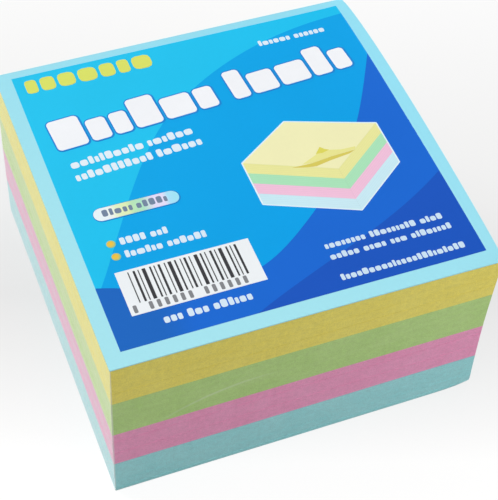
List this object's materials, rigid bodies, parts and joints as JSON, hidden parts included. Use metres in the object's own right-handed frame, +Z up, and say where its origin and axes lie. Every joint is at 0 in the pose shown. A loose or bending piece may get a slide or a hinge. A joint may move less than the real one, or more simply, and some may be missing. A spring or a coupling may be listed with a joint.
{
  "type": "sticky note pad",
  "caption": "Square block of sticky notes in stacked pastel yellow, green, pink and blue, with a printed blue cover sheet on top, for tearing off notes.",
  "frame": {"origin": "centre of the face that the pad stands on", "axes": "+Z up through the stack, +Y towards the glued far edge, +X to the right of someone who reads the cover"},
  "size_m": [0.075, 0.075, 0.0399],
  "materials": {
    "backing_sheet": "plain uncoated paper, matte",
    "blue_notes": "pastel blue note paper, matte",
    "pink_notes": "pastel pink note paper, matte",
    "green_notes": "pastel green note paper, matte",
    "yellow_notes": "pastel yellow note paper, matte",
    "cover_sheet": "pale blue paper, smooth",
    "panel_deep_blue": "deep blue ink",
    "panel_royal_blue": "royal blue ink",
    "panel_mid_blue": "mid blue ink",
    "panel_light_blue": "light blue ink",
    "heading_blocks": "white, unprinted",
    "name_bar": "yellow ink",
    "print_lines": "white, unprinted",
    "bullet_dots": "orange ink",
    "colour_pill": "pale ink",
    "code_patch": "white, unprinted",
    "code_bars": "dark ink",
    "motif_yellow": "pale yellow ink",
    "motif_green": "pale green ink",
    "motif_pink": "pale pink ink",
    "motif_pale_blue": "pale blue ink"
  },
  "bodies": {
    "root": {"backing_sheet": "backing_sheet", "blue_notes": "blue_notes", "pink_notes": "pink_notes", "green_notes": "green_notes", "yellow_notes": "yellow_notes", "cover_sheet": "cover_sheet", "panel_deep_blue": "panel_deep_blue", "panel_royal_blue": "panel_royal_blue", "panel_mid_blue": "panel_mid_blue", "panel_light_blue": "panel_light_blue", "heading_blocks": "heading_blocks", "name_bar": "name_bar", "print_lines": "print_lines", "bullet_dots": "bullet_dots", "colour_pill": "colour_pill", "code_patch": "code_patch", "code_bars": "code_bars", "motif_yellow": "motif_yellow", "motif_green": "motif_green", "motif_pink": "motif_pink", "motif_pale_blue": "motif_pale_blue"}
  },
  "joints": []
}
